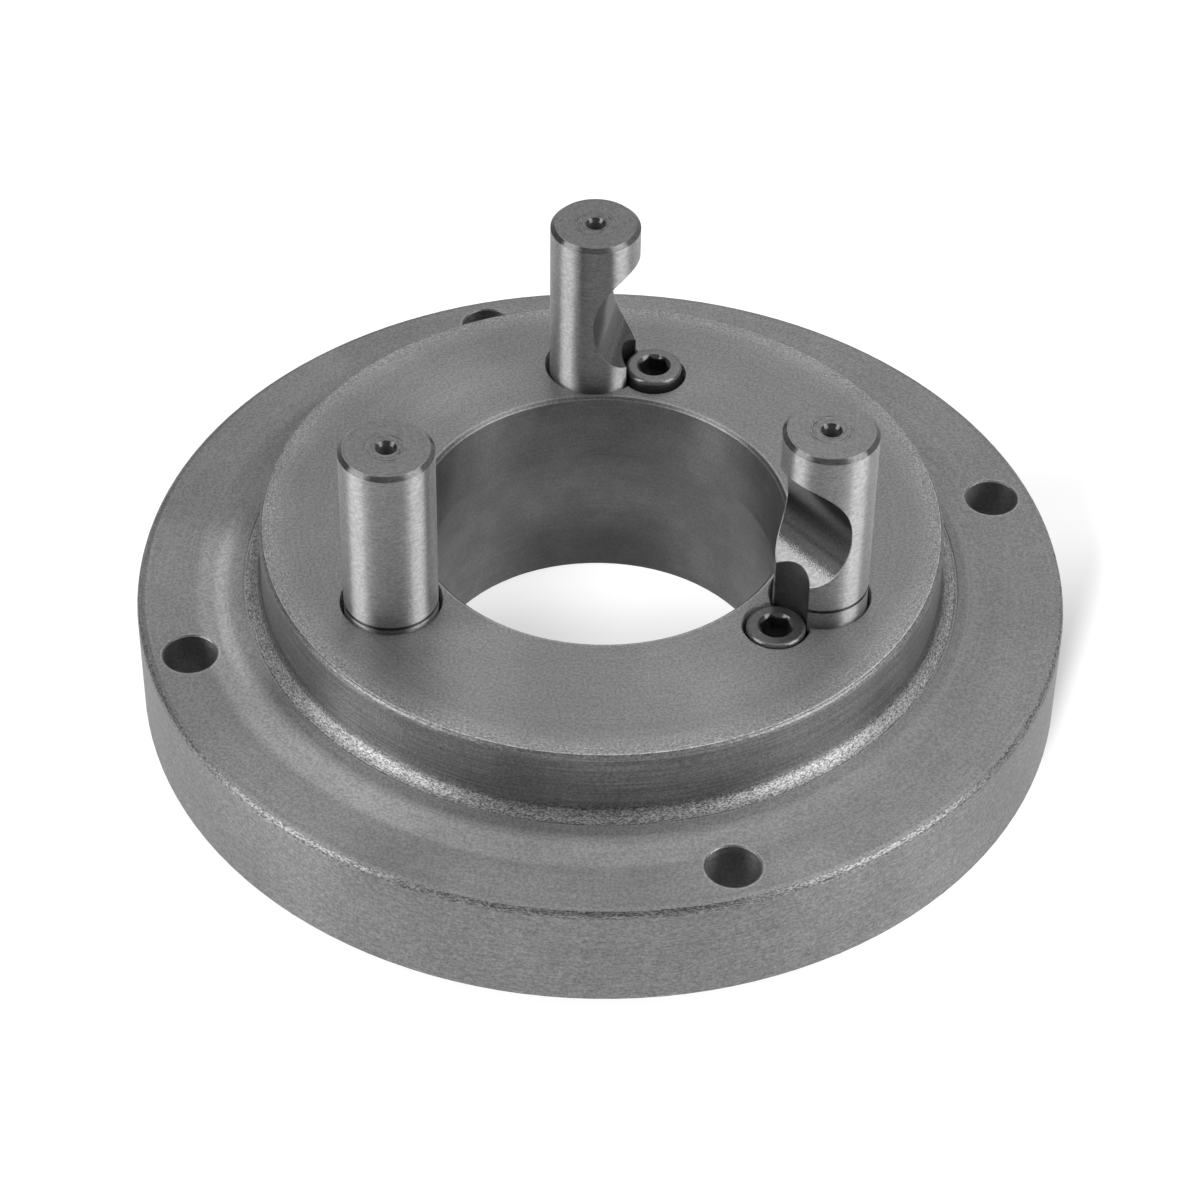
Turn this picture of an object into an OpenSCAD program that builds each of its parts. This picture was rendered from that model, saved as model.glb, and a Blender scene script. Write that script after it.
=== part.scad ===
// Camlock lathe backplate: a turned steel plate that carries a chuck on its
// back register and locks to a spindle nose with three notched pins.
// Millimetres. The origin is the centre of the register's face, on the plate's
// axis, and +Z points to the spindle side.

/* [Flange] */
// Outside diameter of the flange
flange_d = 160; // [144:1:200]
// Thickness of the flange, from its back face to its front face
flange_h = 20.2; // [16:0.1:30]
// Radius of the rounding on the front outer edge
flange_edge = 1.4; // [0.4:0.1:2]
// Bevel on the back outer edge
flange_back_edge = 0.2; // [0.1:0.1:1.5]

/* [Register on the back] */
// Distance of the register's wall in from the flange's rim
register_inset = 15; // [13.5:0.5:20]
// Height of the register below the flange
register_h = 6; // [4:0.5:8]
// Bevel on the register's edge
register_edge = 0.8; // [0.3:0.1:1.5]
// Width of the relief groove round the register's root
relief_w = 2; // [1:0.5:3]
// Depth of the relief groove
relief_depth = 0.5; // [0.2:0.1:1]

/* [Hub] */
// Diameter of the hub
hub_d = 117; // [115:0.5:118]
// Height of the hub's face above the flange's front face
hub_h = 13.4; // [9:0.1:18]
// Radius of the rounding on the hub's edge
hub_edge = 0.9; // [0.3:0.1:1.2]
// Radius of the fillet at the hub's foot
foot_r = 3.8; // [2.5:0.1:5]
// Width of the dished band outside the fillet
dish_w = 6; // [3:0.5:7]
// Rise of the dished band towards the hub
dish_rise = 0.8; // [0.3:0.05:1]
// Step of the turned line between the band and the fillet
line_step = 0.15; // [0.05:0.05:0.25]

/* [Bore] */
// Large diameter of the spindle taper, at the hub's face
taper_d = 63.513; // [62:0.001:64]
// Half angle of the spindle taper, in degrees
taper_angle = 7.125; // [6:0.125:8]
// Depth of the spindle taper
taper_depth = 12; // [9:0.5:13]
// Bevel at the mouth of the taper
taper_edge = 0.5; // [0.2:0.1:0.6]
// Diameter of the through bore behind the taper
bore_d = 62; // [61.6:0.2:66]
// Bevel at the back of the through bore
bore_edge = 1; // [0.3:0.1:2]

/* [Bolt holes] */
// Number of bolt holes in the flange
bolt_count = 4; // [3:1:8]
// Distance of the bolt circle in from the flange's rim
bolt_inset = 7.5; // [6.5:0.1:8]
// Diameter of the bolt holes
bolt_hole_d = 9; // [6.6:0.1:10]
// Angle of the first bolt hole from +X
bolt_turn = 15; // [0:1:90]
// Bevel at both ends of a bolt hole
bolt_edge = 0.2; // [0.1:0.05:0.4]

/* [Cam pins] */
// Diameter of the circle of cam pins
pin_pcd = 82.6; // [82:0.1:84]
// Angle of the first cam pin from +X
pin_turn = 90; // [60:1:120]
// Diameter of a cam pin
pin_d = 15.8; // [14:0.1:16]
// Length of a cam pin from its reference ring to its end
pin_reach = 32.5; // [30:0.25:36]
// Length of the plain body behind the reference ring
pin_foot = 5.2; // [4:0.1:7]
// Bevel on the free end of a cam pin
pin_edge = 0.7; // [0.3:0.1:1.2]
// Height of the first pin's ring above the hub's face
pin_rise_1 = -1.4; // [-1.5:0.1:1.5]
// Height of the second pin's ring above the hub's face
pin_rise_2 = 0.6; // [-1.5:0.1:2]
// Height of the third pin's ring above the hub's face
pin_rise_3 = 3.1; // [1:0.1:3.8]
// Width of the reference ring groove
ring_w = 0.6; // [0.3:0.1:1]
// Depth of the reference ring groove
ring_depth = 0.3; // [0.1:0.05:0.5]
// Radius of the cam notch
notch_r = 12.4; // [11.5:0.1:14]
// Thickness of pin left behind the notch, measured past the pin's axis
notch_floor = 1.4; // [1:0.1:3]
// Distance of the notch's centre from the pin's end
notch_drop = 17.3; // [16.5:0.1:18]
// Part of its play by which the first pin is turned from its screw
pin_play_1 = 0.25; // [-0.9:0.05:0.9]
// Part of its play by which the second pin is turned from its screw
pin_play_2 = 0; // [-0.9:0.05:0.9]
// Part of its play by which the third pin is turned from its screw
pin_play_3 = -0.85; // [-0.9:0.05:0.9]
// Major diameter of the pin's thread
pin_thread_d = 11.1; // [9:0.1:11.2]
// Length of the pin's thread
pin_thread_l = 16; // [12:0.5:18]
// Bevel on the thread's end
pin_thread_edge = 1; // [0.5:0.1:1.5]
// Diameter of the centre drilling at its mouth
centre_d = 3.6; // [3.2:0.1:5]
// Diameter of the centre drilling's pilot hole
centre_hole_d = 2.8; // [2:0.1:3]
// Depth of the centre drilling
centre_depth = 5; // [3:0.5:6]

/* [Lock screws] */
// Distance of a lock screw's axis from its pin's axis
lock_reach = 11; // [10.8:0.05:11.4]
// Angle by which a lock screw lies inside its pin's tangent
lock_angle = 16; // [10:1:20]
// Diameter of the screw head
head_d = 10; // [9:0.1:10.2]
// Height of the screw head
head_h = 6; // [5:0.1:7]
// Radius of the rounding on the head's rim
head_round = 0.7; // [0.3:0.1:1]
// Width of the hex socket across its flats
socket_af = 5; // [4:0.5:5.5]
// Depth of the hex socket
socket_depth = 3; // [2:0.1:3.5]
// Diameter of the bevelled mouth of the socket
socket_mouth_d = 6.1; // [6:0.1:6.6]
// Major diameter of the screw's thread
screw_d = 6; // [5:0.1:6]
// Length of the screw below its head
screw_l = 14; // [10:1:16]
// Bevel on the screw's end
screw_edge = 0.6; // [0.3:0.1:1]
// Height of the first screw's head above the hub's face
screw_rise_1 = 2; // [0:0.1:3]
// Height of the second screw's head above the hub's face
screw_rise_2 = 1; // [0:0.1:3]
// Height of the third screw's head above the hub's face
screw_rise_3 = 0.2; // [0:0.1:3]

/* [Clearances] */
// Gap between a pin and its pocket
pin_pocket_gap = 0.7; // [0.2:0.05:0.75]
// Gap between a screw head and its pocket
head_pocket_gap = 0.65; // [0.2:0.05:0.8]
// Gap between a screw head and the scallop in its pin
scallop_gap = 0.8; // [0.3:0.05:0.9]
// Radial gap between a thread and its tapped hole
thread_gap = 0.05; // [0.03:0.01:0.1]
// Gap below the deepest pin in its pocket
pocket_floor_gap = 0.5; // [0.3:0.1:1]
// Depth that a tapped hole runs on below its screw or pin
tap_runout = 2; // [1:0.5:3]
// Bevel round the pockets
pocket_edge = 0.15; // [0.05:0.05:0.2]

/* [Hidden] */
PIN_COUNT = 3;
DRILL_POINT = 118;
CENTRE_ANGLE = 60;
FOOT_END = 262;
ARC_STEPS = 10;
EDGE_STEPS = 3;
PAST = 1;
$fn = 96;

flange_r = flange_d / 2;
register_r = flange_r - register_inset;
bolt_r = flange_r - bolt_inset;
hub_r = hub_d / 2;
taper_r = taper_d / 2;
bore_r = bore_d / 2;
pin_r = pin_d / 2;
face_z = register_h + flange_h;
hub_z = face_z + hub_h;

// Profile of the hub's foot and the dished band
line_r = hub_r + foot_r * (1 + cos(FOOT_END));
line_z = face_z + dish_rise - line_step;
foot_z = line_z - foot_r * sin(FOOT_END);
dish_r = (dish_w * dish_w + dish_rise * dish_rise) / (2 * dish_rise);

// Profile of the spindle taper and the bore behind it
taper_end_z = hub_z - taper_depth;
taper_end_r = taper_r - taper_depth * tan(taper_angle);
taper_edge_h = taper_edge / (1 - tan(taper_angle));
bore_lip = bore_r - taper_end_r;

// Places of pins and screws
pin_rises = [pin_rise_1, pin_rise_2, pin_rise_3];
pin_plays = [pin_play_1, pin_play_2, pin_play_3];
screw_rises = [screw_rise_1, screw_rise_2, screw_rise_3];
pin_sink = -min(pin_rises);
notch_z = pin_reach - notch_drop;
pin_pocket_depth = pin_foot + pin_sink + pocket_floor_gap;
pin_tap_depth = pin_foot + pin_sink + pin_thread_l + tap_runout;
head_pocket_depth = head_h - min(screw_rises);
screw_tap_depth = head_pocket_depth + screw_l + tap_runout;

// A screwed-in pin can turn until an edge of its scallop meets the screw's head
scallop_r = head_d / 2 + scallop_gap;
pin_play = wall_angle(scallop_r) - wall_angle(head_d / 2);

// Angle on the pin's wall from the middle to the edge of a cut with this
// radius round the lock screw's axis
function wall_angle(r) =
    acos((pin_r * pin_r + lock_reach * lock_reach - r * r) / (2 * pin_r * lock_reach));

function arc(centre, r, from, to, steps = ARC_STEPS) =
    [for (i = [0:steps])
        let (a = from + (to - from) * i / steps)
        centre + r * [cos(a), sin(a)]];

// Height of the dished band at a distance in from its outer rim
function dish_z(x) = face_z + dish_r - sqrt(dish_r * dish_r - x * x);

dish_points = [for (i = [0:ARC_STEPS])
    [line_r + dish_w * (1 - i / ARC_STEPS), dish_z(dish_w * i / ARC_STEPS)]];

foot_points = arc([hub_r + foot_r, foot_z], foot_r, FOOT_END, 180);

// Points up the rounded outer edge of a disc with this radius and top
function edge_points(r, z, edge) =
    arc([r - edge, z - edge], edge, 0, 90, EDGE_STEPS);

backplate_points = concat(
    [
        [bore_r + bore_edge, 0],
        [register_r - register_edge, 0],
        [register_r, register_edge],
        [register_r, register_h + relief_depth],
        [register_r + relief_w, register_h + relief_depth],
        [register_r + relief_w, register_h],
        [flange_r - flange_back_edge, register_h],
        [flange_r, register_h + flange_back_edge]
    ],
    edge_points(flange_r, face_z, flange_edge),
    dish_points,
    foot_points,
    edge_points(hub_r, hub_z, hub_edge),
    [
        [taper_r + taper_edge, hub_z],
        [taper_r + taper_edge - taper_edge_h, hub_z - taper_edge_h],
        [taper_end_r, taper_end_z],
        [bore_r, taper_end_z - bore_lip],
        [bore_r, bore_edge]
    ]
);

// Sets children at the pin with this index, with +X pointing out from the
// plate's axis and z = 0 in the hub's face
module at_pin(index) {
    rotate([0, 0, pin_turn + index * 360 / PIN_COUNT])
        translate([pin_pcd / 2, 0, hub_z])
            children();
}

// As at_pin, with +X pointing from the pin to its lock screw
module facing_screw(index) {
    at_pin(index)
        rotate([0, 0, -90 - lock_angle])
            children();
}

// A blind drilling below z = 0 with a drill point, open upwards
module drilling(d, depth) {
    point_h = d / 2 / tan(DRILL_POINT / 2);
    translate([0, 0, -depth])
        cylinder(d = d, h = depth + PAST);
    translate([0, 0, -depth - point_h])
        cylinder(d1 = 0, d2 = d, h = point_h);
}

// A flat-bottomed pocket below z = 0 with a bevelled mouth
module pocket(r, depth) {
    translate([0, 0, -depth])
        cylinder(r = r, h = depth + PAST);
    translate([0, 0, -pocket_edge])
        cylinder(r1 = r, r2 = r + pocket_edge, h = pocket_edge);
}

module bolt_hole() {
    hole_r = bolt_hole_d / 2;
    translate([0, 0, register_h - PAST])
        cylinder(r = hole_r, h = hub_z - register_h + 2 * PAST);
    translate([0, 0, face_z - bolt_edge])
        cylinder(r1 = hole_r, r2 = hole_r + bolt_edge, h = bolt_edge);
    translate([0, 0, register_h])
        cylinder(r1 = hole_r + bolt_edge, r2 = hole_r, h = bolt_edge);
}

// The plate: one turned solid, drilled and counterbored
module backplate() {
    color([0.45, 0.45, 0.45])
    difference() {
        rotate_extrude($fn = 180)
            polygon(backplate_points);
        for (i = [0:bolt_count - 1])
            rotate([0, 0, bolt_turn + i * 360 / bolt_count])
                translate([bolt_r, 0, 0])
                    bolt_hole();
        for (i = [0:PIN_COUNT - 1]) {
            at_pin(i)
                pocket(pin_r + pin_pocket_gap, pin_pocket_depth);
            at_pin(i)
                drilling(pin_thread_d + 2 * thread_gap, pin_tap_depth);
            facing_screw(i)
                translate([lock_reach, 0, 0])
                    pocket(head_d / 2 + head_pocket_gap, head_pocket_depth);
            facing_screw(i)
                translate([lock_reach, 0, 0])
                    drilling(screw_d + 2 * thread_gap, screw_tap_depth);
        }
    }
}

// Outline of a cam pin, with z = 0 at its reference ring
centre_cone_h = (centre_d - centre_hole_d) / 2 / tan(CENTRE_ANGLE / 2);
centre_point_h = centre_hole_d / 2 / tan(DRILL_POINT / 2);
pin_points = [
    [0, -pin_foot - pin_thread_l],
    [pin_thread_d / 2 - pin_thread_edge, -pin_foot - pin_thread_l],
    [pin_thread_d / 2, -pin_foot - pin_thread_l + pin_thread_edge],
    [pin_thread_d / 2, -pin_foot],
    [pin_r - pin_edge, -pin_foot],
    [pin_r, -pin_foot + pin_edge],
    [pin_r, -ring_w / 2],
    [pin_r - ring_depth, -ring_w / 2],
    [pin_r - ring_depth, ring_w / 2],
    [pin_r, ring_w / 2],
    [pin_r, pin_reach - pin_edge],
    [pin_r - pin_edge, pin_reach],
    [centre_d / 2, pin_reach],
    [centre_hole_d / 2, pin_reach - centre_cone_h],
    [centre_hole_d / 2, pin_reach - centre_depth],
    [0, pin_reach - centre_depth - centre_point_h]
];

// A cam pin: the round notch takes the spindle's cam, and the upright scallop
// below it takes the lock screw's head, which keeps the pin from turning
module cam_pin(index) {
    color([0.72, 0.72, 0.73])
    facing_screw(index)
        translate([0, 0, pin_rises[index]])
            rotate([0, 0, pin_plays[index] * pin_play])
                difference() {
                    rotate_extrude()
                        polygon(pin_points);
                    translate([notch_floor + notch_r, 0, notch_z])
                        rotate([90, 0, 0])
                            cylinder(r = notch_r, h = 2 * pin_d, center = true, $fn = 160);
                    translate([lock_reach, 0, -pin_foot - PAST])
                        cylinder(r = scallop_r, h = pin_foot + PAST + notch_z);
                }
}

// Outline of a lock screw, with z = 0 at the top of its head
screw_points = concat(
    [
        [0, -head_h - screw_l],
        [screw_d / 2 - screw_edge, -head_h - screw_l],
        [screw_d / 2, -head_h - screw_l + screw_edge],
        [screw_d / 2, -head_h],
        [head_d / 2, -head_h]
    ],
    arc([head_d / 2 - head_round, -head_round], head_round, 0, 90),
    [[0, 0]]
);

// A socket head cap screw
module lock_screw(index) {
    mouth_r = socket_mouth_d / 2;
    flat_r = socket_af / 2;
    color([0.16, 0.16, 0.17])
    facing_screw(index)
        translate([lock_reach, 0, screw_rises[index]])
            difference() {
                rotate_extrude()
                    polygon(screw_points);
                translate([0, 0, -socket_depth])
                    cylinder(r = flat_r / cos(30), h = socket_depth + PAST, $fn = 6);
                translate([0, 0, flat_r - mouth_r])
                    cylinder(r1 = flat_r, r2 = mouth_r, h = mouth_r - flat_r);
            }
}

backplate();
cam_pin(0);  // cam_pin_1
cam_pin(1);  // cam_pin_2
cam_pin(2);  // cam_pin_3
lock_screw(0);  // lock_screw_1
lock_screw(1);  // lock_screw_2
lock_screw(2);  // lock_screw_3
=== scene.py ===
import math

import bpy
from mathutils import Matrix, Vector


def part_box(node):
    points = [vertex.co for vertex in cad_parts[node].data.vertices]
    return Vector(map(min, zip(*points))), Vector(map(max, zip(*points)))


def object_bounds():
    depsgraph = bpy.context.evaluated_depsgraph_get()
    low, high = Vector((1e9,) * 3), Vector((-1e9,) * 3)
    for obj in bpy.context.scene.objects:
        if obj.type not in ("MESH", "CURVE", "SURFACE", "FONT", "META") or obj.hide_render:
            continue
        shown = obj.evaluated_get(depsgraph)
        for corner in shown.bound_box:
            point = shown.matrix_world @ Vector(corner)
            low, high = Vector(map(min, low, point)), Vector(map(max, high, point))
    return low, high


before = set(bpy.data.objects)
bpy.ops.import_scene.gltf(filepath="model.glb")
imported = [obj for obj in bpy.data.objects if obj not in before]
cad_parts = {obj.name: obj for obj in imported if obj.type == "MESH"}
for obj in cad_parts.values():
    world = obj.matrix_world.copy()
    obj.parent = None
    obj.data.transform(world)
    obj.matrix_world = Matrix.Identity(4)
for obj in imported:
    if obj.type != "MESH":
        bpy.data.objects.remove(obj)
cad_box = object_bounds()

# Places and sizes, in metres
MM = 0.001
HUB_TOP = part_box("backplate")[1].z
HUB_RADIUS = 58.5 * MM
FLANGE_TOP = HUB_TOP - 13.4 * MM
FLANGE_RADIUS = 80.0 * MM
BORE_RADIUS = 31.76 * MM
BOLT_RADIUS = 4.5 * MM
BOLT_RING = 72.5 * MM
POCKET_RING = 45.0 * MM
POCKET_REACH = 12.0 * MM
PIN_BEVEL = 0.7 * MM
PIN_RADIUS = 7.9 * MM
PIN_REACH = 32.5 * MM
PIN_RING = 0.6 * MM
NOTCH_DROP = 17.3 * MM
CENTRE_RADIUS = 2.0 * MM
CENTRE_DEPTH = 6.5 * MM
LOCK_REACH = 11.0 * MM
SCALLOP_RADIUS = 5.8 * MM
SCALLOP_DROP = 20.0 * MM
SOCKET_RADIUS = 3.1 * MM
FLOOR_SIDE = 6.0
PINS = ["cam_pin_1", "cam_pin_2", "cam_pin_3"]
SCREWS = ["lock_screw_1", "lock_screw_2", "lock_screw_3"]

# How far the bolt holes are turned round the plate, and each pin from its screw, in degrees
BOLT_TURN = 15.0
PIN_TURNS = [1.55, 0.0, -5.26]

# Heights in a pin's notch, from its middle: where its parts pass into each other
NOTCH_TOP = (5.6 * MM, 6.4 * MM)
NOTCH_MIDDLE = (-2.5 * MM, -1.5 * MM)
NOTCH_LOW = (-8.6 * MM, -7.0 * MM)
NOTCH_SHADE = -6.2 * MM

# Directions from an upright axis
EAST = (1.0, 0.0)
NORTH = (0.0, 1.0)
FRONT = (0.0, -1.0)
LIT_SIDE = (-0.87, -0.5)
# The back-left, where shade is painted on the plate's face
BACK_LEFT = (-0.7, 0.7)
SHADOW_SIDE = (1.0, -0.37)

# Rings on the flange's face where highlights and shade are painted: radius, half the width
# and the soft edge, in mm
FLANGE_RINGS = {
    "heel": (58.9, 0.12, 0.38),
    "crest": (60.0, 0.3, 0.6),
    "fillet": (60.1, 0.9, 0.6),
    "groove": (61.25, 0.05, 0.1),
    "ridge": (61.5, 0.04, 0.1),
    "foot": (62.3, 0.4, 1.4),
    "glow": (63.8, 1.6, 2.2),
    "dish": (67.0, 0.8, 3.6),
    "front_flat": (70.0, 4.0, 5.0),
    "left_flat": (74.5, 3.5, 3.0),
}

# How bright each metal is where it is plain
TURNED_STEEL = 0.27
GROUND_STEEL = 0.45
BLACK_OXIDE = 0.05
# The top 0.9 mm of a screw's head is brighter than its side
HEAD_TOP_OXIDE = 0.17

# How bright the plate's parts are beside plain turned steel; these are painted highlights,
# sheen and shade
PLATE_LOOKS = {
    # Painted sheen on the hub face's outer band, a painted highlight line on the rim, and
    # painted shade and a dark line on the rounded edge
    "rim": 1.18,
    "rim_line": 1.5,
    "hub_edge": 0.74,
    "edge_line": 0.7,
    # Painted shade on the hub wall towards the left-front
    "hub_wall_shade": 0.86,
    # Painted light in the pockets round the pins, lifting their shade
    "pocket": 2.2,
    # Painted shade on the bore's bevel, and a painted highlight line at its edge
    "mouth": 0.6,
    "mouth_line": 1.3,
    # Painted shade low in the middle of the bore
    "bore_low": 0.55,
    # Painted shade in the crease at the foot of the hub wall
    "heel": 0.62,
    # Painted highlight on the fillet's crest and its left side, and painted shade on its
    # front
    "crest": 1.1,
    "left_fillet": 1.3,
    "front_fillet": 0.84,
    # Painted highlight in a ring on the flange's far left
    "glow": 1.42,
    # Painted shade on the dish at the back-left
    "shaded_dish": 0.75,
    # Painted light on the flange's face at the front and at the left
    "front_flat": 1.07,
    "left_flat": 1.12,
    # Painted shade on the face at the back-left
    "shaded_back": 0.92,
    # Painted shade on the flange's rounded edge, dimming its highlight
    "flange_edge": 0.84,
    # A painted highlight ring round each bolt hole, and painted shade on its bevel
    "bolt_light": 1.3,
    "bolt_dark": 0.75,
}

# How bright a pin's parts are beside plain ground steel, on every pin and then pin by pin;
# some are painted light and shade
EVERY_PIN = {
    "bevel": 0.35,
    # Painted shade on the front of each pin near its base
    "pin_foot": 0.78,
    "flecks": 0.55,
    "ring": 0.3,
    "cut": 0.53,
    "shade": 0.65,
    # Painted light in the centre hole, lifting its shade
    "centre": 1.2,
    "scallop": 0.17,
}
# Painted light and shade pin by pin: each pin's top, its side towards the camera and the
# parts of its notch
PIN_LOOKS = [
    {"top": 1.42, "front": 0.76, "upper": 0.84, "middle": 0.8, "lower": 0.4},
    {"top": 1.65, "front": 1.0, "upper": 1.0, "middle": 0.8, "lower": 1.0},
    {"top": 1.42, "front": 1.0, "upper": 0.55, "middle": 0.5, "lower": 1.5},
]

# How bright the flat of each screw's head is beside its rim
SCREW_TONES = [0.98, 0.98, 0.6]

# Noise: its scales, per metre, and how far each side of 0.5 soft and sharp noise is spread
GRAIN = 2300.0
FINE_GRAIN = 5500.0
PATCHES = 130.0
STAINS = 55.0
PAPER_FIBRES = 900.0
SOFT = 0.2
SHARP = 0.15

# Tool marks: how far apart they are, and how long in radians round the axis
PLATE_MARKS = (0.3 * MM, 0.3)
PLATE_FLECKS = (0.14 * MM, 0.007)
PLATE_STREAKS = (0.4 * MM, 0.015)
PIN_MARKS = (0.15 * MM, 0.5)
PIN_SCRATCHES = (0.3 * MM, 0.1)
SCREW_MARKS = (0.2 * MM, 0.5)

# How deep grain and tool marks are, and how far they spread the light to one side
PLATE_RELIEF = 0.03 * MM
PIN_RELIEF = 0.006 * MM
SCREW_RELIEF = 0.008 * MM
PLATE_SPREAD = 0.7
PIN_SPREAD = 1.0
SCREW_SPREAD = 0.3

# Camera: where it stands, which way it looks and how far it leans
CAMERA_PLACE = Vector((-22.0, -475.9, 455.9)) * MM
CAMERA_HEADING = 87.36
CAMERA_DOWN = 42.455
CAMERA_ROLL = 0.99
CAMERA_LENS = 111.1
CAMERA_SENSOR = 36.0

# Light: the dome turns from the way the camera looks, the softboxes from the camera itself
DOME_TURN = 35.0
DOME_RISE = 65.0
DOME_EDGE = 0.45
DOME_DIM = 0.18
DOME_BRIGHT = 1.15
SOFTBOX_TURNS = (-70.0, 68.0)
SOFTBOX_RISE = 30.0
SOFTBOX_DISTANCE = 1.3
SOFTBOX_WIDTH = 0.8
SOFTBOX_HEIGHT = 1.3
SOFTBOX_POWERS = (10.0, 9.2)

# Floor: how bright it is to the camera, in the metal, and under the light
FLOOR_SHOWN = 0.92
FLOOR_MIRRORED = 0.72
FLOOR_SHADE = 0.25
PAPER = 0.8


class Graph:
    """The nodes of one material or of the world."""

    def __init__(self, owner):
        owner.use_nodes = True
        self.owner = owner
        self.tree = owner.node_tree
        self.tree.nodes.clear()

    def join(self, value, socket):
        if isinstance(value, bpy.types.NodeSocket):
            self.tree.links.new(value, socket)
        else:
            socket.default_value = value

    def node(self, kind, inputs, **settings):
        made = self.tree.nodes.new("ShaderNode" + kind)
        for key, value in settings.items():
            setattr(made, key, value)
        for key, value in inputs.items():
            self.join(value, made.inputs[key])
        return made

    def math(self, operation, *values):
        made = self.node("Math", {}, operation=operation)
        for socket, value in zip(made.inputs, values):
            self.join(value, socket)
        return made.outputs[0]

    def vector(self, operation, *values, out="Vector"):
        made = self.node("VectorMath", {}, operation=operation)
        for socket, value in zip(made.inputs, values):
            self.join(value, socket)
        return made.outputs[out]

    def chain(self, operation, values):
        total = values[0]
        for value in values[1:]:
            total = self.math(operation, total, value)
        return total

    def add(self, *values):
        return self.chain("ADD", values)

    def times(self, *values):
        return self.chain("MULTIPLY", values)

    def either(self, *masks):
        return self.chain("MAXIMUM", masks)

    def without(self, mask):
        return self.math("SUBTRACT", 1.0, mask)

    def range(self, value, low, high, to_low, to_high):
        """Value carried smoothly from low..high to to_low..to_high, and held beyond."""
        made = self.node("MapRange", {}, interpolation_type="SMOOTHSTEP")
        for socket, number in zip(made.inputs, (value, low, high, to_low, to_high)):
            self.join(number, socket)
        return made.outputs[0]

    def rise(self, value, low, high):
        """0 below low and 1 above high."""
        return self.range(value, low, high, 0.0, 1.0)

    def fall(self, value, low, high):
        """1 below low and 0 above high."""
        return self.range(value, low, high, 1.0, 0.0)

    def band(self, value, middle, half, soft):
        """1 within half of middle, falling to 0 over soft."""
        away = self.math("ABSOLUTE", self.math("SUBTRACT", value, middle))
        return self.fall(away, half, half + soft)

    def blend(self, mask, off, on):
        """Off where the mask is 0, and on where it is 1."""
        return self.range(mask, 0.0, 1.0, off, on)

    def where(self, mask, look):
        """A brightness: look where the mask is 1, and otherwise no change."""
        return self.blend(mask, 1.0, look)

    def mottle(self, noise, low, high, reach=SOFT):
        """Noise spread from low to high."""
        return self.range(noise, 0.5 - reach, 0.5 + reach, low, high)

    def noise(self, vector, scale, detail, w=None):
        dimensions = "3D" if w is None else "4D"
        inputs = {"Vector": vector, "Scale": scale, "Detail": detail}
        if w is not None:
            inputs["W"] = w
        return self.node("TexNoise", inputs, noise_dimensions=dimensions).outputs[0]

    def grey(self, value):
        return self.node("CombineColor", {0: value, 1: value, 2: value}).outputs[0]


class Surface(Graph):
    """The nodes of a material, with places taken from the upright axis at centre."""

    def __init__(self, name, centre):
        super().__init__(bpy.data.materials.new(name))
        self.place = self.from_axis(centre)
        self.parts = self.node("SeparateXYZ", {0: self.place}).outputs
        self.height = self.parts[2]
        self.flat = self.node("CombineXYZ", {0: self.parts[0], 1: self.parts[1]}).outputs[0]
        self.radius = self.vector("LENGTH", self.flat, out="Value")

    def from_axis(self, centre):
        place = self.node("TexCoord", {}).outputs["Object"]
        return self.vector("SUBTRACT", place, (centre[0], centre[1], 0.0))

    def distance(self, centre):
        """How far each place is from the upright axis at centre."""
        flat = self.vector("MULTIPLY", self.from_axis(centre), (1.0, 1.0, 0.0))
        return self.vector("LENGTH", flat, out="Value")

    def along(self, way):
        """How far each place lies in this direction."""
        return self.vector("DOT_PRODUCT", self.place, (*way, 0.0), out="Value")

    def toward(self, way):
        """The cosine of the angle round the axis from this direction."""
        return self.math("DIVIDE", self.along(way), self.radius)

    def turned(self, pitch, run):
        """Noise drawn out round the axis: tool marks pitch apart, run long in radians."""
        step = self.math("DIVIDE", 1.0, self.radius)
        east = self.times(self.parts[0], step, 1.0 / run)
        north = self.times(self.parts[1], step, 1.0 / run)
        marks = self.node("CombineXYZ", {
            0: self.times(self.radius, 1.0 / pitch),
            1: self.times(self.height, 1.0 / pitch),
            2: east,
        }).outputs[0]
        return self.noise(marks, 1.0, 2.0, w=north)

    def across(self):
        """Along the surface and square to marks that run round the axis."""
        way = self.vector("CROSS_PRODUCT", (0.0, 0.0, 1.0), self.flat)
        normal = self.node("NewGeometry", {}).outputs["Normal"]
        return self.vector("CROSS_PRODUCT", normal, way)

    def metal(self, tone, roughness, height, depth, tangent, anisotropic, metallic):
        bump = self.node("Bump", {"Strength": 1.0, "Distance": depth, "Height": height})
        shader = self.node("BsdfPrincipled", {
            "Base Color": self.grey(tone),
            "Metallic": metallic,
            "Roughness": roughness,
            "Anisotropic": anisotropic,
            "Tangent": tangent,
            "Normal": bump.outputs[0],
        })
        self.finish(shader)

    def finish(self, shader):
        out = self.node("OutputMaterial", {})
        self.tree.links.new(shader.outputs[0], out.inputs["Surface"])


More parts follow.
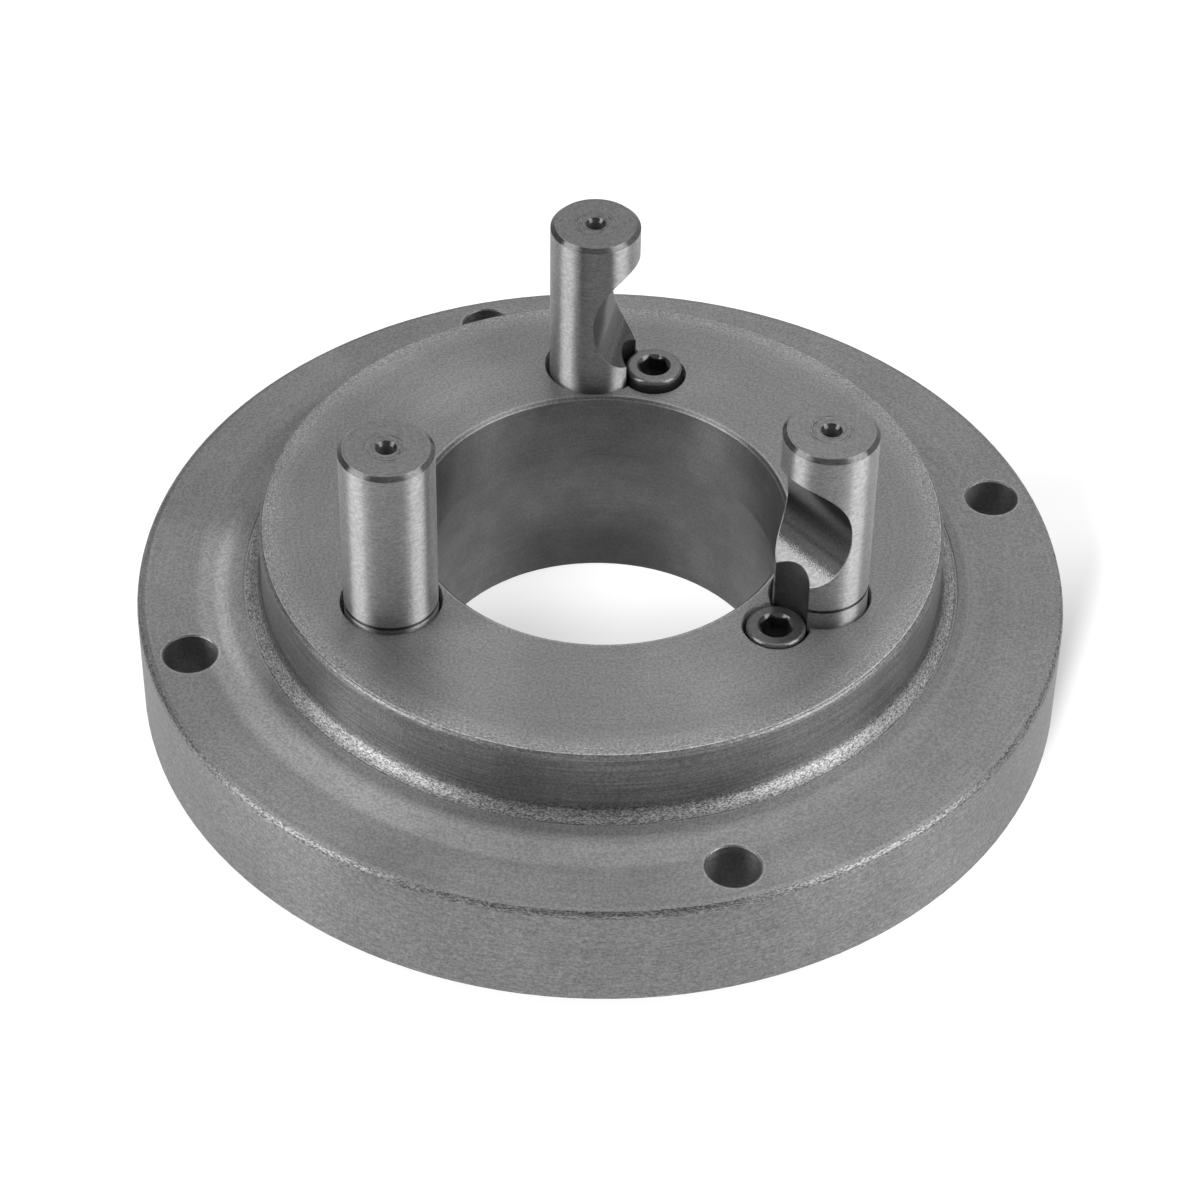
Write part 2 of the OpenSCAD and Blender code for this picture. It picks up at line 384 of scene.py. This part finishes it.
def hub_masks(g):
    """The hub's rim, edge and wall, and the pockets in its face, as places for painted
    highlights, shade and light.
    """
    edge = g.times(
        g.rise(g.radius, HUB_RADIUS - 0.65 * MM, HUB_RADIUS - 0.55 * MM),
        g.rise(g.height, HUB_TOP - 0.9 * MM, HUB_TOP - 0.7 * MM),
    )
    wall = g.times(
        g.band(g.radius, HUB_RADIUS, 0.1 * MM, 0.1 * MM),
        g.fall(g.height, HUB_TOP - 0.7 * MM, HUB_TOP - 0.6 * MM),
    )
    lit = g.toward(LIT_SIDE)
    return {
        "rim": g.times(
            g.rise(g.radius, HUB_RADIUS - 7.5 * MM, HUB_RADIUS - 0.5 * MM),
            g.rise(g.height, HUB_TOP - 1.5 * MM, HUB_TOP - 0.5 * MM),
        ),
        "rim_line": g.times(
            g.band(g.radius, HUB_RADIUS - 0.65 * MM, 0.05 * MM, 0.1 * MM),
            g.rise(g.height, HUB_TOP - 0.1 * MM, HUB_TOP - 0.05 * MM),
        ),
        "hub_edge": edge,
        "edge_line": g.times(
            edge,
            g.band(g.radius, HUB_RADIUS - 0.5 * MM, 0.03 * MM, 0.1 * MM),
        ),
        "hub_wall": wall,
        # Painted shade on the hub wall towards the left-front
        "hub_wall_shade": g.times(wall, g.rise(lit, 0.55, 0.8), g.fall(lit, 0.88, 0.96)),
        # Painted light in the pockets round the pins, lifting their shade
        "pocket": g.times(
            g.band(g.radius, POCKET_RING, POCKET_REACH, 0.3 * MM),
            g.fall(g.height, HUB_TOP - 0.25 * MM, HUB_TOP - 0.15 * MM),
            g.rise(g.height, 1.0 * MM, 2.0 * MM),
        ),
    }


def bore_masks(g):
    """The bore's mouth, its wall and the low middle of its wall, as places for painted
    highlights and shade.
    """
    inside = g.times(
        g.fall(g.radius, BORE_RADIUS + 0.2 * MM, BORE_RADIUS + 0.6 * MM),
        g.fall(g.height, HUB_TOP - 0.6 * MM, HUB_TOP - 0.4 * MM),
    )
    return {
        "mouth": g.times(
            g.band(g.radius, BORE_RADIUS + 0.25 * MM, 0.15 * MM, 0.06 * MM),
            g.rise(g.height, HUB_TOP - 0.7 * MM, HUB_TOP - 0.55 * MM),
        ),
        "mouth_line": g.times(
            g.band(g.radius, BORE_RADIUS + 0.65 * MM, 0.1 * MM, 0.15 * MM),
            g.rise(g.height, HUB_TOP - 0.1 * MM, HUB_TOP - 0.05 * MM),
        ),
        "bore": inside,
        # Painted shade low in the middle of the bore
        "bore_low": g.times(
            inside,
            g.fall(g.height, 4.0 * MM, 20.0 * MM),
            g.fall(g.math("ABSOLUTE", g.parts[0]), 8.0 * MM, 22.0 * MM),
        ),
    }


def flange_masks(g, back_left):
    """The flange's edge and wall, and the rings on its face, as places for painted
    highlights and shade.
    """
    face = g.times(
        g.rise(g.height, FLANGE_TOP - 2.0 * MM, FLANGE_TOP - 1.0 * MM),
        g.fall(g.height, HUB_TOP - 8.0 * MM, HUB_TOP - 7.0 * MM),
    )
    masks = {}
    for name, (middle, half, soft) in FLANGE_RINGS.items():
        masks[name] = g.times(face, g.band(g.radius, middle * MM, half * MM, soft * MM))
    east = g.toward(EAST)
    north = g.toward(NORTH)
    far_left = g.fall(east, -0.98, -0.86)
    masks["left_fillet"] = g.times(masks["fillet"], g.fall(east, -0.88, -0.74))
    masks["front_fillet"] = g.times(masks["fillet"], g.fall(north, -0.98, -0.86))
    masks["foot"] = g.times(masks["foot"], g.without(far_left))
    masks["glow"] = g.times(masks["glow"], far_left, g.without(back_left))
    masks["shaded_dish"] = g.times(masks["dish"], back_left)
    masks["front_flat"] = g.times(masks["front_flat"], g.fall(north, -1.0, -0.75))
    masks["left_flat"] = g.times(masks["left_flat"], g.fall(east, -1.0, -0.96))
    masks["shaded_back"] = g.times(back_left, g.rise(g.radius, 40.0 * MM, 50.0 * MM))
    masks["flange_edge"] = g.times(
        g.rise(g.radius, FLANGE_RADIUS - 1.0 * MM, FLANGE_RADIUS - 0.6 * MM),
        g.rise(g.height, FLANGE_TOP - 1.4 * MM, FLANGE_TOP - 1.0 * MM),
    )
    masks["flange_wall"] = g.rise(
        g.radius, FLANGE_RADIUS - 0.3 * MM, FLANGE_RADIUS - 0.05 * MM
    )
    return masks


def bolt_masks(g):
    """The rims and walls of the bolt holes, by the distance from the nearest one's axis, as
    places for painted highlights and shade.
    """
    turn = math.radians(BOLT_TURN)
    along = g.math("ABSOLUTE", g.along((math.cos(turn), math.sin(turn))))
    aside = g.math("ABSOLUTE", g.along((-math.sin(turn), math.cos(turn))))
    nearest = g.node("CombineXYZ", {
        0: g.math("SUBTRACT", g.either(along, aside), BOLT_RING),
        1: g.math("MINIMUM", along, aside),
    }).outputs[0]
    away = g.vector("LENGTH", nearest, out="Value")
    face = g.rise(g.height, FLANGE_TOP - 0.3 * MM, FLANGE_TOP - 0.2 * MM)
    return {
        "bolt_light": g.times(
            face,
            g.band(away, BOLT_RADIUS + 0.45 * MM, 0.05 * MM, 0.12 * MM),
        ),
        "bolt_dark": g.times(
            face,
            g.band(away, BOLT_RADIUS + 0.1 * MM, 0.15 * MM, 0.1 * MM),
        ),
        "bolt_wall": g.times(
            g.fall(away, BOLT_RADIUS + 0.1 * MM, BOLT_RADIUS + 0.2 * MM),
            g.fall(g.height, FLANGE_TOP - 0.3 * MM, FLANGE_TOP - 0.25 * MM),
        ),
    }


def plate_material():
    """Turned steel, matt and dark, with grain, tool marks and faint stains, and painted
    highlights, glints and shade.
    """
    g = Surface("turned_steel", (0.0, 0.0))
    grain = g.noise(g.place, GRAIN, 3.0)
    marks = g.turned(*PLATE_MARKS)
    flecks = g.turned(*PLATE_FLECKS)
    streaks = g.turned(*PLATE_STREAKS)
    stains = g.noise(g.place, STAINS, 5.0)
    patches = g.noise(g.place, PATCHES, 4.0)
    # The back-left of the plate, where shade is painted on its face
    back_left = g.times(
        g.rise(g.toward(BACK_LEFT), 0.5, 0.95),
        g.rise(g.toward(NORTH), 0.05, 0.3),
    )
    # Painted sheen on the dish, strongest on the lit side towards the front
    sheen = g.times(
        g.rise(g.toward(LIT_SIDE), -0.7, 1.0),
        g.range(g.parts[1], -5.0 * MM, 40.0 * MM, 1.0, 0.35),
    )
    masks = {**hub_masks(g), **bore_masks(g), **flange_masks(g, back_left), **bolt_masks(g)}
    glints = g.either(
        masks["fillet"],
        masks["flange_edge"],
        g.times(masks["rim"], 0.55),
        g.times(masks["hub_wall"], 0.3),
    )
    normal = g.node("SeparateXYZ", {0: g.node("NewGeometry", {}).outputs["Normal"]}).outputs
    # Painted light and shade on the bolt holes' walls, by which way they face
    bolt_wall_shading = g.range(g.math("ABSOLUTE", normal[0]), 0.35, 0.95, 0.6, 1.5)
    sideways = g.math("ABSOLUTE", g.parts[0])
    bore = masks["bore"]
    # Painted light and shade in the bore: darker in its middle, lighter at its sides, most
    # near the top
    bore_side_light = g.range(g.height, 20.0 * MM, 32.0 * MM, 0.95, 1.3)
    tone = g.times(
        TURNED_STEEL,
        *(g.where(masks[name], look) for name, look in PLATE_LOOKS.items()),
        g.where(masks["hub_wall"], g.mottle(marks, 0.8, 1.07)),
        g.where(masks["dish"], g.blend(sheen, 0.95, 1.5)),
        # Painted shade on the ring near the hub's base, with a painted highlight on it at
        # the back-left
        g.where(masks["foot"], g.blend(back_left, 0.82, 1.15)),
        # Painted shade in the turned groove, and a painted highlight on the ridge beside it
        g.where(masks["groove"], g.mottle(patches, 0.55, 0.95, SHARP)),
        g.where(masks["ridge"], g.mottle(patches, 1.35, 1.05, SHARP)),
        g.where(masks["bolt_wall"], bolt_wall_shading),
        g.where(bore, g.mottle(patches, 0.70, 0.84, SHARP)),
        g.where(bore, g.range(sideways, 12.0 * MM, 30.0 * MM, 0.88, bore_side_light)),
        g.where(glints, g.mottle(flecks, 0.45, 1.7, SHARP)),
        g.where(masks["flange_wall"], g.mottle(streaks, 0.88, 1.15, SHARP)),
        # Painted shade on the flange wall's right side
        g.where(masks["flange_wall"], g.range(g.toward(EAST), 0.6, 0.9, 1.0, 0.92)),
        g.mottle(grain, g.blend(bore, 0.8, 0.89), g.blend(bore, 1.2, 1.11)),
        g.mottle(marks, 0.95, 1.05),
        g.mottle(stains, 0.90, 1.10),
    )
    roughness = g.mottle(stains, 0.40, 0.48)
    relief = g.add(grain, g.times(marks, 0.6))
    metallic = g.blend(masks["pocket"], 0.9, 0.5)
    g.metal(tone, roughness, relief, PLATE_RELIEF, g.across(), PLATE_SPREAD, metallic)
    return g.owner


def pin_masks(g, tip, scallop_axis, marks):
    """The parts of a pin with its tip at this height, and with a scallop for its screw."""
    fine = g.noise(g.place, FINE_GRAIN, 2.0)
    top = g.rise(g.height, tip - 0.05 * MM, tip - 0.02 * MM)
    bevel = g.rise(g.height, tip - PIN_BEVEL - 0.04 * MM, tip - PIN_BEVEL)
    ring = g.times(
        g.band(g.height, tip - PIN_REACH, PIN_RING / 2, 0.05 * MM),
        g.rise(g.radius, PIN_RADIUS - 0.5 * MM, PIN_RADIUS - 0.4 * MM),
    )
    cut = g.times(
        g.fall(g.radius, PIN_RADIUS - 0.2 * MM, PIN_RADIUS - 0.1 * MM),
        g.without(bevel),
        g.without(ring),
    )
    from_notch = g.math("SUBTRACT", g.height, tip - NOTCH_DROP)
    above = g.rise(from_notch, *NOTCH_MIDDLE)
    speckled = g.add(from_notch, g.times(g.math("SUBTRACT", fine, 0.5), 5.0 * MM))
    lower = g.times(cut, g.fall(speckled, *NOTCH_LOW))
    wall = g.without(g.either(top, bevel, cut))
    # The side of the pin towards the camera, where shade is painted
    front = g.times(wall, g.rise(g.toward(FRONT), 0.9, 0.985))
    return {
        "top": top,
        "bevel": bevel,
        "ring": ring,
        "cut": cut,
        "upper": g.times(cut, above, g.fall(from_notch, *NOTCH_TOP)),
        "middle": g.times(cut, g.without(above), g.without(lower)),
        "lower": lower,
        "shade": g.times(cut, g.band(from_notch, NOTCH_SHADE, 0.7 * MM, 1.0 * MM)),
        "front": front,
        # Painted shade on the front of the pin near its base
        "pin_foot": g.times(front, g.fall(g.height, HUB_TOP, HUB_TOP + 7.0 * MM)),
        # Painted light in the centre hole, lifting its shade
        "centre": g.times(
            cut,
            g.fall(g.radius, CENTRE_RADIUS, CENTRE_RADIUS + 0.3 * MM),
            g.rise(g.height, tip - CENTRE_DEPTH - 0.5 * MM, tip - CENTRE_DEPTH),
        ),
        "flecks": g.times(
            top,
            g.band(g.radius, 2.6 * MM, 0.7 * MM, 0.8 * MM),
            g.fall(marks, 0.36, 0.5),
        ),
        "scallop": g.times(
            g.fall(
                g.distance(scallop_axis),
                SCALLOP_RADIUS + 0.05 * MM,
                SCALLOP_RADIUS + 0.15 * MM,
            ),
            g.fall(g.height, tip - SCALLOP_DROP, tip - SCALLOP_DROP + 1.0 * MM),
        ),
    }


def pin_material(node, screw, turn, looks):
    """Ground steel with fine marks round the pin, and darker where it wasn't ground, with
    painted light and shade.
    """
    low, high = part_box(node)
    screw_low, screw_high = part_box(screw)
    axis = (low + high) / 2
    facing = ((screw_low + screw_high) / 2 - axis) * Vector((1, 1, 0))
    facing.rotate(Matrix.Rotation(math.radians(turn), 3, "Z"))
    facing.normalize()
    g = Surface("ground_steel_" + node, axis)
    grain = g.noise(g.place, GRAIN, 2.0)
    marks = g.turned(*PIN_MARKS)
    scratches = g.turned(*PIN_SCRATCHES)
    masks = pin_masks(g, high.z, axis + facing * LOCK_REACH, marks)
    tone = g.times(
        GROUND_STEEL,
        *(g.where(masks[name], look) for name, look in {**EVERY_PIN, **looks}.items()),
        g.mottle(grain, 0.9, 1.1),
        g.mottle(marks, 0.94, 1.06),
        g.mottle(scratches, 0.86, 1.14),
    )
    cut = masks["cut"]
    roughness = g.blend(g.either(masks["bevel"], cut), 0.43, 0.3)
    tangent = g.node("Mix", {0: g.either(masks["top"], cut)}, data_type="VECTOR")
    g.join(g.vector("NORMALIZE", g.across()), tangent.inputs[4])
    g.join((-facing.y, facing.x, 0.0), tangent.inputs[5])
    relief = g.times(g.add(g.times(grain, 0.6), marks), g.blend(cut, 1.0, 2.5))
    metallic = g.blend(g.either(masks["scallop"], g.times(masks["centre"], 0.5)), 1.0, 0.3)
    g.metal(tone, roughness, relief, PIN_RELIEF, tangent.outputs[1], PIN_SPREAD, metallic)
    return g.owner


def screw_material(node, flat_tone):
    """Black oxide on a screw's head, brighter over the top of its head, with painted shade
    in its socket.
    """
    low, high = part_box(node)
    g = Surface("black_oxide_" + node, (low + high) / 2)
    grain = g.noise(g.place, GRAIN, 3.0)
    marks = g.turned(*SCREW_MARKS)
    rim = g.rise(g.height, high.z - 0.9 * MM, high.z - 0.6 * MM)
    flat = g.rise(g.height, high.z - 0.05 * MM, high.z - 0.02 * MM)
    socket = g.times(
        g.fall(g.radius, SOCKET_RADIUS, SOCKET_RADIUS + 0.1 * MM),
        g.without(flat),
    )
    tone = g.times(
        g.blend(rim, BLACK_OXIDE, HEAD_TOP_OXIDE),
        g.where(flat, flat_tone),
        # Painted shade in the socket
        g.where(socket, 0.7),
        g.mottle(grain, 0.85, 1.15),
    )
    roughness = g.blend(flat, 0.17, 0.28)
    relief = g.add(grain, marks)
    g.metal(tone, roughness, relief, SCREW_RELIEF, g.across(), SCREW_SPREAD, 0.6)
    return g.owner


def floor_material():
    """White paper: plain white to the camera but for faint painted shadows in the bore and
    to the right, and dimmer in metal.
    """
    g = Surface("white_floor", (0.0, 0.0))
    x, y = g.parts[0], g.parts[1]
    rays = g.node("LightPath", {}).outputs
    mirrored = g.math("MAXIMUM", rays["Is Glossy Ray"], rays["Is Transmission Ray"])
    fibres = g.mottle(g.noise(g.place, PAPER_FIBRES, 3.0), 0.995, 1.0)
    # Painted shadow on the floor inside the bore, darker towards its front and left
    bore_shadow = g.times(
        g.fall(g.radius, BORE_RADIUS, BORE_RADIUS + 10.0 * MM),
        g.add(
            g.range(y, 8.0 * MM, 28.0 * MM, 0.22, -0.06),
            g.range(x, -18.0 * MM, 8.0 * MM, 0.2, 0.0),
        ),
    )
    # Painted shadow on the floor to the right of the plate
    right_shadow = g.times(
        g.rise(x, 60.0 * MM, 65.0 * MM),
        g.fall(g.along(SHADOW_SIDE), 80.0 * MM, 88.0 * MM),
        g.fall(x, 92.0 * MM, 100.0 * MM),
        g.range(y, -8.0 * MM, 45.0 * MM, 0.64, 0.17),
        g.rise(y, -30.0 * MM, -12.0 * MM),
        g.fall(y, 50.0 * MM, 75.0 * MM),
    )
    shown = g.math("SUBTRACT", FLOOR_SHOWN, g.add(bore_shadow, right_shadow))
    strength = g.add(
        g.times(rays["Is Camera Ray"], shown),
        g.times(mirrored, FLOOR_MIRRORED),
    )
    glow = g.node("Emission", {"Color": g.grey(fibres), "Strength": strength})
    shade = g.node("BsdfDiffuse", {"Color": (FLOOR_SHADE, FLOOR_SHADE, FLOOR_SHADE, 1.0)})
    lit = g.node("AddShader", {0: shade.outputs[0], 1: glow.outputs[0]})
    paper = g.node("BsdfDiffuse", {"Color": (PAPER, PAPER, PAPER, 1.0)})
    seen = g.either(mirrored, rays["Is Camera Ray"])
    both = g.node("MixShader", {0: seen, 1: paper.outputs[0], 2: lit.outputs[0]})
    g.finish(both)
    return g.owner


def dress(node, material):
    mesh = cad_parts[node].data
    mesh.materials.clear()
    mesh.materials.append(material)


def direction(heading, rise):
    """The unit vector with this heading from +X and this rise, in degrees."""
    a = math.radians(heading)
    e = math.radians(rise)
    return Vector((math.cos(a) * math.cos(e), math.sin(a) * math.cos(e), math.sin(e)))


def make_camera():
    data = bpy.data.cameras.new("camera")
    data.lens = CAMERA_LENS
    data.sensor_width = CAMERA_SENSOR
    camera = bpy.data.objects.new("camera", data)
    bpy.context.scene.collection.objects.link(camera)
    turn = Matrix.Rotation(math.radians(CAMERA_HEADING - 90), 4, "Z")
    tip = Matrix.Rotation(math.radians(90 - CAMERA_DOWN), 4, "X")
    lean = Matrix.Rotation(math.radians(CAMERA_ROLL), 4, "Z")
    camera.matrix_world = Matrix.Translation(CAMERA_PLACE) @ turn @ tip @ lean
    bpy.context.scene.camera = camera


def make_softbox(heading, power):
    """A tall light at this heading that faces the plate."""
    data = bpy.data.lights.new("softbox", "AREA")
    data.shape = "RECTANGLE"
    data.size = SOFTBOX_WIDTH
    data.size_y = SOFTBOX_HEIGHT
    data.energy = power
    light = bpy.data.objects.new("softbox", data)
    bpy.context.scene.collection.objects.link(light)
    away = direction(heading, SOFTBOX_RISE)
    light.location = Vector((0.0, 0.0, HUB_TOP)) + away * SOFTBOX_DISTANCE
    light.rotation_mode = "QUATERNION"
    light.rotation_quaternion = away.to_track_quat("Z", "Y")
    light.visible_camera = False


def make_world():
    """A white room, bright above and behind the plate, and plain white as a backdrop."""
    world = bpy.data.worlds.new("white_room")
    bpy.context.scene.world = world
    g = Graph(world)
    way = g.node("TexCoord", {}).outputs["Generated"]
    bright = direction(CAMERA_HEADING - DOME_TURN, DOME_RISE)
    facing = g.vector("DOT_PRODUCT", way, tuple(bright), out="Value")
    room = g.range(facing, DOME_EDGE, 1.0, DOME_DIM, DOME_BRIGHT)
    camera_ray = g.node("LightPath", {}).outputs["Is Camera Ray"]
    strength = g.either(room, camera_ray)
    light = g.node("Background", {"Color": (1.0, 1.0, 1.0, 1.0), "Strength": strength})
    out = g.node("OutputWorld", {})
    g.join(light.outputs[0], out.inputs["Surface"])


def make_floor():
    half = FLOOR_SIDE / 2
    corners = [(-half, -half, 0), (half, -half, 0), (half, half, 0), (-half, half, 0)]
    mesh = bpy.data.meshes.new("floor")
    mesh.from_pydata(corners, [], [(0, 1, 2, 3)])
    floor = bpy.data.objects.new("floor", mesh)
    bpy.context.scene.collection.objects.link(floor)
    floor.location.z = cad_box[0].z
    mesh.materials.append(floor_material())


dress("backplate", plate_material())
for name, screw, turn, looks in zip(PINS, SCREWS, PIN_TURNS, PIN_LOOKS):
    dress(name, pin_material(name, screw, turn, looks))
for name, flat_tone in zip(SCREWS, SCREW_TONES):
    dress(name, screw_material(name, flat_tone))

make_camera()
make_world()
make_floor()
for turn, power in zip(SOFTBOX_TURNS, SOFTBOX_POWERS):
    make_softbox(CAMERA_HEADING - 180 + turn, power)
bpy.context.scene.view_settings.view_transform = "Standard"
